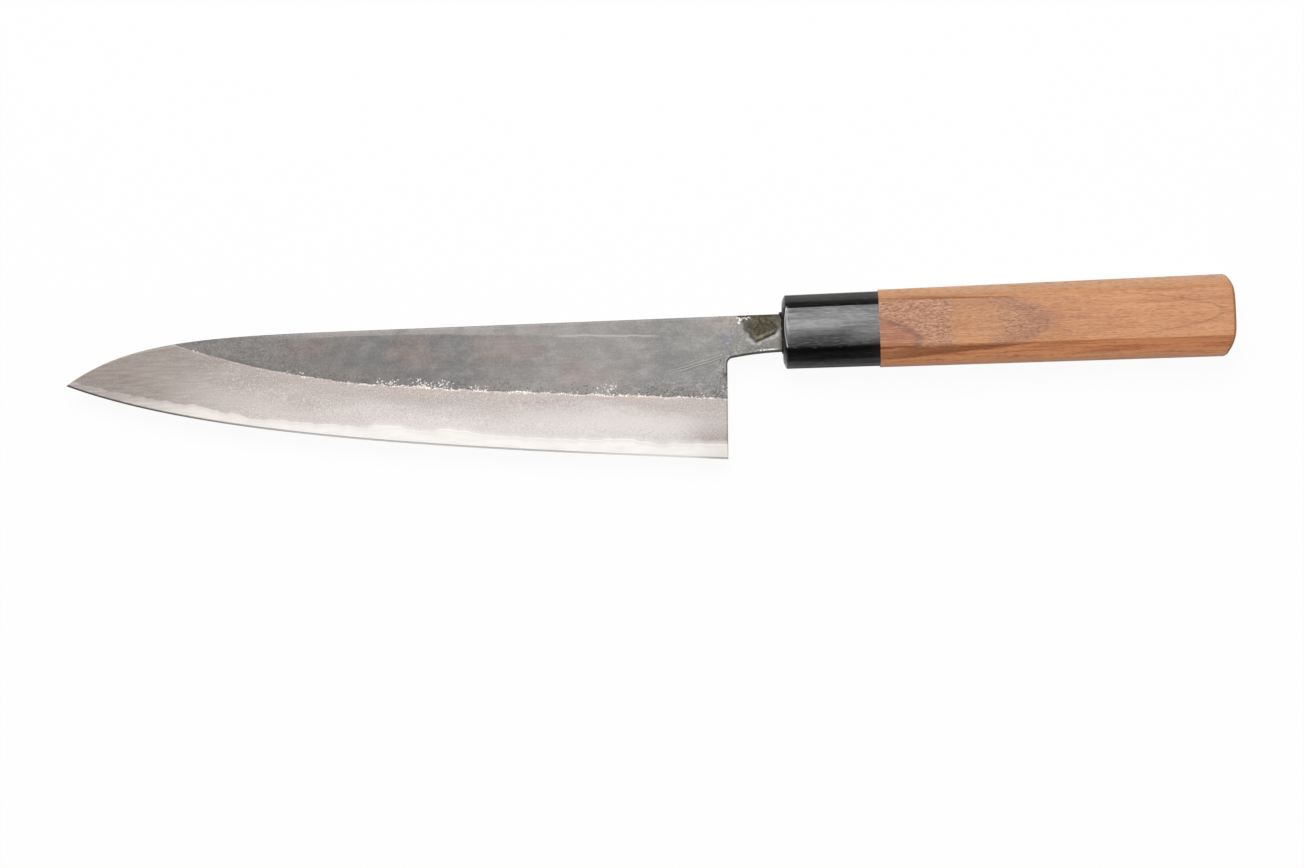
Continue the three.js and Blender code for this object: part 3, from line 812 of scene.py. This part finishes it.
left_rings, left_traits = cladding_rings()
for name, node, side in (("left_cladding", "cladding_left", 1), ("right_cladding", "cladding_right", -1)):
    piece = skin(name, left_rings * (1, 1, side), left_traits, crease=(BEVEL_ROWS,))
    iron = forged_iron(f"{name}_iron", 0 if side > 0 else RIGHT_SHIFT, side > 0)
    fit(piece, iron, node)

# Dowel: a plain round hardwood pin that lines up the ferrule and the grip. It is slotted for the tang and
# glued into both, so nothing of it shows. The CAD solid is kept, with a pale wood finish.
pale_wood, root = new_material("pale_dowel_wood")
place, *_ = root.position()
fibres = place.noise(0.05, 2, 4)
pale_colour = fibres.ramp(0.3, 0.7).mix((196, 172, 132), (226, 206, 170))
root.surface(Base_Color=pale_colour, Roughness=0.55 + 0.2 * fibres, Normal=root.relief(fibres, 0.05))
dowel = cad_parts["dowel"]
dowel.data.materials.clear()
dowel.data.materials.append(pale_wood)

# Ferrule: a collar of black buffalo horn, octagonal like the grip and polished with it. Its front edge is
# rounded over, and a slot in its closed front lets the neck through to the dowel bore behind.
HANDLE_LENGTH = (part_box("grip")[1].x - mouth.x) / MM
FERRULE_LENGTH = (collar_high.x - mouth.x) / MM
FRONT_HEIGHT = 23.4
BUTT_HEIGHT = 25.2
FRONT_DEPTH = 19.0
BUTT_DEPTH = 20.6
FRONT_FACET = 4.7
BUTT_FACET = 4.8
FERRULE_STEP = 0.25
ROUND_LENGTH = 1.1
ROUND_INSET = 2.3
ROUND_FLATNESS = 0.6
FRONT_WALL = 8.0
SLOT_HEIGHT = 13.4
SLOT_DEPTH = 5.0
SLOT_CORNER = 1.0
BORE_RADIUS = 6.65
HORN_EASE = 1.1
HORN_CROWN = 0.14
HORN_FACET_CROWN = 0.13
FLAT_STEPS = 10
ARRIS_STEPS = 6
FERRULE_STEPS = 24
ROUND_STEPS = 10
SLOT_STEPS = 800


def octagon(at, inset, ease, crown, facet_crown):
    """Points round the handle's section, in y and z, with eased corners and crowned flats and facets."""
    share = at / HANDLE_LENGTH
    inset = inset + crown
    half_height = (FRONT_HEIGHT + (BUTT_HEIGHT - FRONT_HEIGHT) * share) / 2 - inset
    half_depth = (FRONT_DEPTH + (BUTT_DEPTH - FRONT_DEPTH) * share) / 2 - inset
    facet = FRONT_FACET + (BUTT_FACET - FRONT_FACET) * share - (2 - math.sqrt(2)) * inset
    quarter = np.array([[half_height, half_depth - facet], [half_height - facet, half_depth]])
    corners = []
    for signs, order in (((1, 1), 1), ((-1, 1), -1), ((-1, -1), 1), ((1, -1), -1)):
        corners.extend((quarter * signs)[::order])
    points = []
    for i in range(8):
        corner, before, after = corners[i], corners[i - 1], corners[(i + 1) % 8]
        to_before = (before - corner) / np.linalg.norm(before - corner)
        to_after = (after - corner) / np.linalg.norm(after - corner)
        outward = np.array([to_after[1], -to_after[0]])
        bow = crown if i % 2 else facet_crown
        points.extend(curve(ARRIS_STEPS, corner + to_before * ease, corner, corner + to_after * ease))
        start, end = corner + to_after * ease, after - to_after * ease
        for step in np.linspace(0, 1, FLAT_STEPS + 1)[1:-1]:
            points.append(start + (end - start) * step + outward * bow * 4 * step * (1 - step))
    return np.array(points)


def horn_section(at, inset=0):
    return octagon(at, FERRULE_STEP + inset, HORN_EASE, HORN_CROWN, HORN_FACET_CROWN)


def ring_at(at, section):
    """Points of a section at this place along the handle, which may differ from point to point."""
    return np.column_stack([np.broadcast_to(at, len(section)), section])


section = horn_section(FERRULE_LENGTH)
directions = np.arctan2(section[:, 1], section[:, 0])
neck_middle = (spine_y + neck_y) / 2


def rounded_slot(height, depth, corner):
    """Points of a round-cornered slot for the neck, one in each direction from its middle."""
    points = []
    for turn in directions:
        ray = np.array([math.cos(turn), math.sin(turn)])
        far = np.linspace(0, height, SLOT_STEPS)[:, None] * ray
        gap = np.abs(far) - (np.array([height, depth]) / 2 - corner)
        outside = np.linalg.norm(np.maximum(gap, 0), axis=1) > corner
        points.append(far[np.argmax(outside)])
    return np.array(points) + (neck_middle, 0)


slot = rounded_slot(SLOT_HEIGHT, SLOT_DEPTH, SLOT_CORNER)
bore = BORE_RADIUS * np.column_stack([np.cos(directions), np.sin(directions)])
ferrule_rings = [ring_at(FRONT_WALL, bore), ring_at(FERRULE_LENGTH, bore)]
for at in np.linspace(FERRULE_LENGTH, ROUND_LENGTH, FERRULE_STEPS):
    ferrule_rings.append(ring_at(at, horn_section(at)))
for share in np.linspace(0, 1, ROUND_STEPS + 1)[1:]:
    turn = share * math.pi / 2
    at = ROUND_LENGTH * (1 - math.sin(turn) + ROUND_FLATNESS * (math.sin(turn) - share))
    inset = ROUND_INSET * (1 - math.cos(turn) + ROUND_FLATNESS * (share - 1 + math.cos(turn)))
    ferrule_rings.append(ring_at(at, horn_section(at, inset)))
ferrule_rings += [ring_at(0, slot), ring_at(FRONT_WALL, slot), ring_at(FRONT_WALL, bore)]

black_horn, root = new_material("polished_black_horn")
place, x, y, z = root.position()
streaks = place.noise(0.06, 1.1, 4, 5)
smears = place.noise(0.14, 0.6, 4, 9)
fine = place.noise(0.4, 3.4, 3, 15)
left_side = z.ramp(0, 8)
from_rim = x - 0.6 - 0.016 * (y - 0.3) * (y - 0.3)
on_face = y.ramp(-6.2, -5.6) * y.ramp(7.4, 6.4)
haze = (x + smears.sway(12)).ramp(16, 26) * y.bump_at(-2.6, 3.6) * left_side
# Painted reflection: grey on the front chamfer, carrying the flat's sheen up to the rim.
painted_front_sheen = from_rim.ramp(0.1, 0.4) * x.ramp(2.4, 1.5) * on_face * y.ramp(-6, 2)
# Painted reflection of the white table on the lower front rounding.
painted_round_reflection = x.ramp(1.5, 0.2) * y.ramp(-6.8, -9)
low_haze = y.ramp(-1.6, -4) * y.ramp(-6.5, -5.4) * left_side * (0.4 + 0.9 * fine.ramp(0.4, 0.65))
glints = place.noise(0.5, 2, 3, 25).ramp(0.56, 0.68) * y.bump_at(-6.3, 0.4) * left_side
horn_colour = streaks.ramp(0.42, 0.7).mix((4, 4, 4), (28, 27, 26)).wash(
    (fine.ramp(0.52, 0.7) * 0.5, 56, 54, 52),
    # Painted shade: a near-black band along the lower arris.
    (y.ramp(-4.5, -6) * y.ramp(-9, -7.5) * 0.9, 2, 2, 2),
    (haze * 0.42, 124, 121, 119),
    # Painted highlight along the rim of the rounded front.
    (from_rim.bump_at(0.05, 0.3) * on_face * 0.9, 226, 224, 222),
    (painted_front_sheen * 0.6, 128, 126, 124),
    (painted_round_reflection * 0.45, 160, 158, 156),
    (low_haze * 0.24, 122, 121, 120),
    # Painted reflection of the table on the upper facet.
    (y.ramp(8.2, 9.4) * 0.6, 42, 39, 36),
    # Painted reflection of the wood at the back end of the ferrule.
    (x.ramp(27, 30.6) * 0.2, 70, 52, 50),
    (glints * x.ramp(26, 18) * 0.35, 150, 148, 146),
)

# The polish is brightest along the middle of the flats and worn in streaks.
dull = (x + smears.sway(8)).ramp(2, 7) * x.ramp(26, 19)
dull = dull * (y + streaks.sway(3)).ramp(0.2, -1.6) * left_side
notch = x.bump_at(1.8, 0.5) * y.bump_at(3, 2)
sheen = 0.66 + 0.3 * (y + smears.sway(3)).bump_at(1.4, 4.6) * x.ramp(30, 6)
sheen = sheen - 0.14 * y.ramp(3.4, 6.4) + 0.2 * y.ramp(7.8, 8.6) - 0.22 * dull
sheen = sheen * (1 - 0.7 * notch) * (1 - on_face * from_rim.ramp(0.05, -0.3))
sheen = sheen + streaks.sway(0.9) + fine.sway(1.1)
root.surface(
    Base_Color=horn_colour,
    Roughness=0.3 + 0.1 * smears,
    Specular_IOR_Level=0.1,
    Coat_Weight=sheen * y.ramp(-11.3, -11),
    Coat_Roughness=0.14,
    Coat_IOR=1.5,
    Normal=root.relief(fine * 0.5 + streaks * 0.5, 0.035),
)
ferrule = skin("horn_ferrule", ferrule_rings, ends=False)
fit(ferrule, black_horn, "ferrule")

# Grip: a block of reddish hardwood, planed to an octagon that tapers towards the ferrule, bored for the
# dowel, crowned at the butt and oiled.
BUTT_CROWN = 2.8
BUTT_CROWN_POWER = 4
BUTT_EDGE_ROUND = 1.1
GRIP_BORE_END = 100.6
WOOD_EASE = 0.35
WOOD_CROWN = 0.06
FLAT_TAPER = 0.0056
GRIP_STEPS = 60
BUTT_EDGE_STEPS = 8


def wood_section(at, inset=0):
    return octagon(at, inset, WOOD_EASE, WOOD_CROWN, WOOD_CROWN)


middle_point = np.zeros((len(directions), 2))
grip_rings = [
    ring_at(GRIP_BORE_END, middle_point),
    ring_at(GRIP_BORE_END, bore),
    ring_at(FERRULE_LENGTH, bore),
]
butt_start = HANDLE_LENGTH - BUTT_CROWN - BUTT_EDGE_ROUND
for at in np.linspace(FERRULE_LENGTH, butt_start, GRIP_STEPS):
    grip_rings.append(ring_at(at, wood_section(at)))


def butt_face(section):
    """How far along the crowned butt lies at these points."""
    fall = BUTT_CROWN * (np.abs(section[:, 0]) / (BUTT_HEIGHT / 2)) ** BUTT_CROWN_POWER
    return HANDLE_LENGTH - fall


for turn in np.radians(np.linspace(0, 90, BUTT_EDGE_STEPS)):
    section = wood_section(butt_start, BUTT_EDGE_ROUND * (1 - math.cos(turn)))
    at = butt_face(section) - BUTT_EDGE_ROUND * (1 - math.sin(turn))
    grip_rings.append(ring_at(at, section))
rim = wood_section(butt_start, BUTT_EDGE_ROUND)
for share in np.linspace(1, 0, ROUND_STEPS + 1)[1:]:
    grip_rings.append(ring_at(butt_face(rim * share), rim * share))

# The growth rings are bowls round a pith above the left side, and that side cuts them in arches that point
# to the butt.
figured_wood, root = new_material("oiled_figured_wood")
place, x, y, z = root.position()
under_flat = FRONT_DEPTH / 2 + FLAT_TAPER * x - z
wobble = place.noise(0.07, 0.3, 3, 3).sway(6)


def arch(point_x, point_y, width, wander=1):
    """How far along the grip lies from a growth ring whose arch has its point here."""
    across = y - point_y
    over_facet = under_flat * (10 + 18 * y.ramp(-2, 2))
    return x - point_x + across * across / (2 * width) + over_facet + wobble * wander


near_arch = arch(43.8, -5.6, 2.4)
far_arch = arch(87, -0.5, 2.35)
butt_arch = arch(139.6, 0.3, 0.8, 0.3)
on_flat = under_flat.ramp(0.9, 0.2)

# Heights over the lower and the upper arris of the left flat.
arris = FRONT_HEIGHT / 2 - FRONT_FACET + FLAT_TAPER * x
low_arris = y + arris
high_arris = y - arris
lower = low_arris.ramp(0, -0.5)
upper = high_arris.ramp(0, 0.5)

# Fibres that curl a little, so that the planed wood looks crinkled.
curl = place.noise(0.14, 0.35, 2, 41).sway(1.3)
curled = place.moved(Y=curl, Z=curl)
fibres = curled.noise(0.05, 1.1, 4, 13)
broad = curled.noise(0.025, 0.45, 3, 53)
crinkle = curled.noise(0.55, 3, 3, 17)
threads = curled.noise(0.07, 3.2, 3, 19)
band_inputs = {"W": far_arch * 0.1, "Scale": 1, "Detail": 3}
bands = root.node("ShaderNodeTexNoise", {"noise_dimensions": "1D"}, band_inputs)
# Paler, greyer colour towards the top of the upper facet, painted reflection of the light on it.
painted_top_reflection = high_arris.ramp(0.5, 4) * (0.4 + 0.4 * x.ramp(40, 60))
wood = fibres.ramp(0.34, 0.66).mix((196, 131, 82), (212, 149, 98)).wash(
    (bands.ramp(0.45, 0.7) * 0.3, 184, 116, 70),
    (x.ramp(76, 40) * on_flat * 0.7, 180, 128, 88),
    (near_arch.ramp(1.5, -1.5) * on_flat * 0.85, 165, 100, 71),
    (x.ramp(86, 104) * on_flat * 0.4, 222, 155, 106),
    (broad.ramp(0.48, 0.34) * 0.5, 222, 160, 110),
    (broad.ramp(0.52, 0.66) * 0.5, 182, 118, 76),
    (x.ramp(112, 132) * y.ramp(-1, 4) * 0.35, 196, 126, 82),
    (upper * 0.35, 198, 150, 114),
    (upper * painted_top_reflection, 206, 166, 135),
    # Painted light: the lower facet is painted much brighter than the flat, and its bottom edge brighter
    # still, against the shade it lies in.
    (lower * 0.87, 250, 160, 107),
    (low_arris.ramp(-2.5, -4.5) * 0.6, 255, 184, 130),
)

# Inside the far arch the upper and lower facets are darker and browner.
outside_near = near_arch.ramp(-2, 2)
in_shade = far_arch.ramp(10, 4) * outside_near * lower * low_arris.ramp(-4.8, -3)
upper_shade = far_arch.ramp(0.5, -2.5) * outside_near * upper * (0.5 + 0.4 * x.ramp(31, 43))
wood = wood.wash(
    (lower * x.ramp(62, 48) * 0.35, 212, 120, 66),
    (in_shade * (0.6 + 0.35 * x.ramp(33, 42)), 162, 95, 53),
    (upper_shade, 140, 94, 64),
)

# Wide pores in two zones of the left flat, the dark late wood that ends the arches, and the fine grain.
first_zone = near_arch.ramp(-0.5, 2) * (x + wobble * 0.3).ramp(55, 52.5)
second_zone = (x + wobble * 0.6).ramp(60, 73) * far_arch.ramp(2, -5) * 0.75
porous = root.math("MAXIMUM", first_zone, second_zone) * on_flat
pores = curled.noise(0.9, 3, 3, 29)
late = far_arch.ramp(-16, -3) * far_arch.ramp(2.5, -4) * (0.4 + 1.2 * fibres) * on_flat
near_line = near_arch.bump_at(-0.8, 3.2) * on_flat
by_arris = low_arris.ramp(3.6, 0.6) * near_arch.ramp(0, -3) * on_flat
arris_line = low_arris.bump_at(-0.3, 0.6) * x.ramp(45, 41)
upper_line = (y + 0.05 * (x - 51) + wobble * 0.1).bump_at(8.1, 0.8)
upper_line = upper_line * x.ramp(31, 46) * x.ramp(80, 68)
facet_lines = far_arch.bump_at(-1, 5) * (1 - on_flat) * (1 - 0.5 * lower)
crinkled = 1 - 0.5 * near_arch.ramp(1, -1) * on_flat
wood = wood.wash(
    (porous * 0.7, 183, 131, 101),
    (porous * pores.ramp(0.5, 0.62) * 0.75, 118, 76, 57),
    (porous * pores.ramp(0.48, 0.36) * 0.65, 222, 172, 138),
    (late * 0.45, 146, 97, 76),
    (near_line * 0.8, 122, 77, 65),
    (by_arris * 0.5, 166, 92, 54),
    (arris_line * 0.75, 108, 58, 34),
    (upper_line * 0.6, 118, 76, 48),
    (facet_lines * 0.55, 128, 76, 48),
    (butt_arch.bump_at(0, 1.8) * on_flat * 0.5, 142, 92, 62),
    (crinkle.ramp(0.5, 0.66) * crinkled * 0.42, 156, 95, 58),
    (crinkle.ramp(0.48, 0.32) * crinkled * 0.38, 230, 169, 118),
    (threads.ramp(0.52, 0.68) * 0.35, 160, 98, 62),
    (threads.ramp(0.48, 0.32) * 0.35, 232, 174, 126),
    (fibres.ramp(0.5, 0.6) * lower * (0.5 - 0.4 * in_shade), 252, 172, 116),
    (fibres.ramp(0.48, 0.38) * lower * 0.4, 176, 98, 56),
)

# End grain takes up more oil and is darker; the darkening at the butt's rounded edge is also painted shade.
height_share = y / (BUTT_HEIGHT / 2)
crown_fall = BUTT_CROWN * height_share * height_share * height_share * height_share
end_grain_and_shade = (x + crown_fall).ramp(HANDLE_LENGTH - 1, HANDLE_LENGTH - 0.3)
wood = wood.wash(
    (end_grain_and_shade * 0.7, 150, 116, 78),
    (end_grain_and_shade * threads.ramp(0.52, 0.62) * 0.45, 104, 74, 48),
)
root.surface(
    Base_Color=wood,
    Roughness=0.46 + 0.15 * fibres,
    Normal=root.relief(crinkle * 0.6 + porous * pores * 0.6, 0.02),
)
grip = skin("wooden_grip", grip_rings, ends=False)
fit(grip, figured_wood, "grip")

# Tang seal: black resin run in round the neck to close the ferrule's slot. A little of it has squeezed out
# of the mouth, most at the top of the neck.
SEAL_GAP = 0.1
SEAL_DEPTH = 2.5
SEAL_FRONT = 0.1
SEAL_PROUD = 0.6
SEAL_INNER_CORNER = 0.3
LUMP_SIZE = 1.4

inner_slot = rounded_slot(NECK_HEIGHT + 2 * SEAL_GAP, SPINE_THICKNESS + 2 * SEAL_GAP, SEAL_INNER_CORNER)
outer_slot = rounded_slot(SLOT_HEIGHT - 2 * SEAL_GAP, SLOT_DEPTH - 2 * SEAL_GAP, SLOT_CORNER - SEAL_GAP)
lumps = np.array([noise.noise(Vector((*point, 3)) / LUMP_SIZE) for point in outer_slot])
at_top = outer_slot[:, 0] > 5
squeezed = SEAL_PROUD * (0.6 + 0.9 * lumps + 0.8 * at_top)
seal_rings = [
    ring_at(SEAL_DEPTH, inner_slot),
    ring_at(SEAL_DEPTH, outer_slot),
    ring_at(SEAL_FRONT, outer_slot),
]
for share in np.linspace(0.15, 0.85, 6):
    bulge = math.sin(math.pi * share)
    seal_rings.append(ring_at(-squeezed * bulge, outer_slot + (inner_slot - outer_slot) * share))
seal_rings += [ring_at(SEAL_FRONT, inner_slot), ring_at(SEAL_DEPTH, inner_slot)]

dark_resin, root = new_material("dark_resin")
place, *_ = root.position()
dust = place.noise(1.2, 1.2, 4, 19)
root.surface(
    Base_Color=dust.ramp(0.45, 0.75).mix((10, 9, 9), (34, 31, 28)),
    Roughness=0.3 + 0.3 * dust,
    Normal=root.relief(dust, 0.05),
)
seal = skin("resin_seal", seal_rings, ends=False)
fit(seal, dark_resin, "tang_seal")

# White table, soft studio light from above and a camera square over the knife, a little towards its edge.
# The table and the softbox are sized in metres. Part of the table's white is even light, most of it as the
# camera sees it and less in polished pieces.
TABLE_SIZE = 6.0
TABLE_WHITE = 0.95
TABLE_IN_POLISH = 0.2
WORLD_LIGHT = 0.12
SOFTBOX_PLACE = Vector((0, 0.646, 1.6))
SOFTBOX_SIZE = 1.02
SOFTBOX_WATTS = 28.0
IMAGE_WIDTH = 1304
IMAGE_HEIGHT = 868
PIXELS_PER_MM = 3.15
MOUTH_PIXEL = (782.5, 332.3)
KNIFE_TURN = 2.237
VIEW_LEAN = 6.2
LENS = 200.0
SENSOR = 36.0

bpy.ops.mesh.primitive_plane_add(size=TABLE_SIZE)
table = bpy.context.object
table.name = "table"
white, root = new_material("white_table")
place, *_ = root.position()
paper = place.noise(0.02, 0.02)
paint = root.node(
    "ShaderNodeBsdfPrincipled",
    {},
    {"Base Color": paper.mix((249, 249, 249), (251, 251, 251)), "Roughness": 0.9},
)
glow = root.node("ShaderNodeEmission", {}, {"Color": (1, 1, 1, 1), "Strength": 1})
by_camera, by_gloss, through = (
    root.node("ShaderNodeLightPath", output=f"Is {ray} Ray") for ray in ("Camera", "Glossy", "Transmission")
)
seen = by_camera * TABLE_WHITE + (by_gloss + through) * TABLE_IN_POLISH
lit = root.node("ShaderNodeMixShader", {}, {0: seen, 1: paint, 2: glow})
root.node("ShaderNodeOutputMaterial", {}, {"Surface": lit})
table.data.materials.append(white)

world = bpy.data.worlds.new("studio")
world.use_nodes = True
sky = world.node_tree.nodes["Background"].inputs
sky["Color"].default_value = (1, 1, 1, 1)
sky["Strength"].default_value = WORLD_LIGHT
bpy.context.scene.world = world

lamp = bpy.data.lights.new("overhead_softbox", "AREA")
lamp.size = SOFTBOX_SIZE
lamp.energy = SOFTBOX_WATTS
softbox = bpy.data.objects.new("overhead_softbox", lamp)
softbox.location = SOFTBOX_PLACE
softbox.rotation_euler = (-SOFTBOX_PLACE).to_track_quat("-Z", "Y").to_euler()
bpy.context.scene.collection.objects.link(softbox)

lean = math.radians(VIEW_LEAN)
turn = math.radians(KNIFE_TURN)
away = Vector((0, -math.sin(lean), math.cos(lean)))
level = Vector((1, 0, 0))
upward = away.cross(level)
right = level * math.cos(turn) - upward * math.sin(turn)
up = level * math.sin(turn) + upward * math.cos(turn)
shift_right = (IMAGE_WIDTH / 2 - MOUTH_PIXEL[0]) / PIXELS_PER_MM * MM
shift_up = (MOUTH_PIXEL[1] - IMAGE_HEIGHT / 2) / PIXELS_PER_MM * MM
aim = mouth + right * shift_right + up * shift_up
distance = IMAGE_WIDTH / PIXELS_PER_MM * MM * LENS / SENSOR
lens = bpy.data.cameras.new("camera")
lens.lens = LENS
lens.sensor_width = SENSOR
lens.clip_start = 0.01
lens.clip_end = 20
camera = bpy.data.objects.new("camera", lens)
pose = Matrix((right, up, away)).transposed().to_4x4()
pose.translation = aim + away * distance
camera.matrix_world = pose
bpy.context.scene.collection.objects.link(camera)
bpy.context.scene.camera = camera
bpy.context.scene.view_settings.view_transform = "Standard"
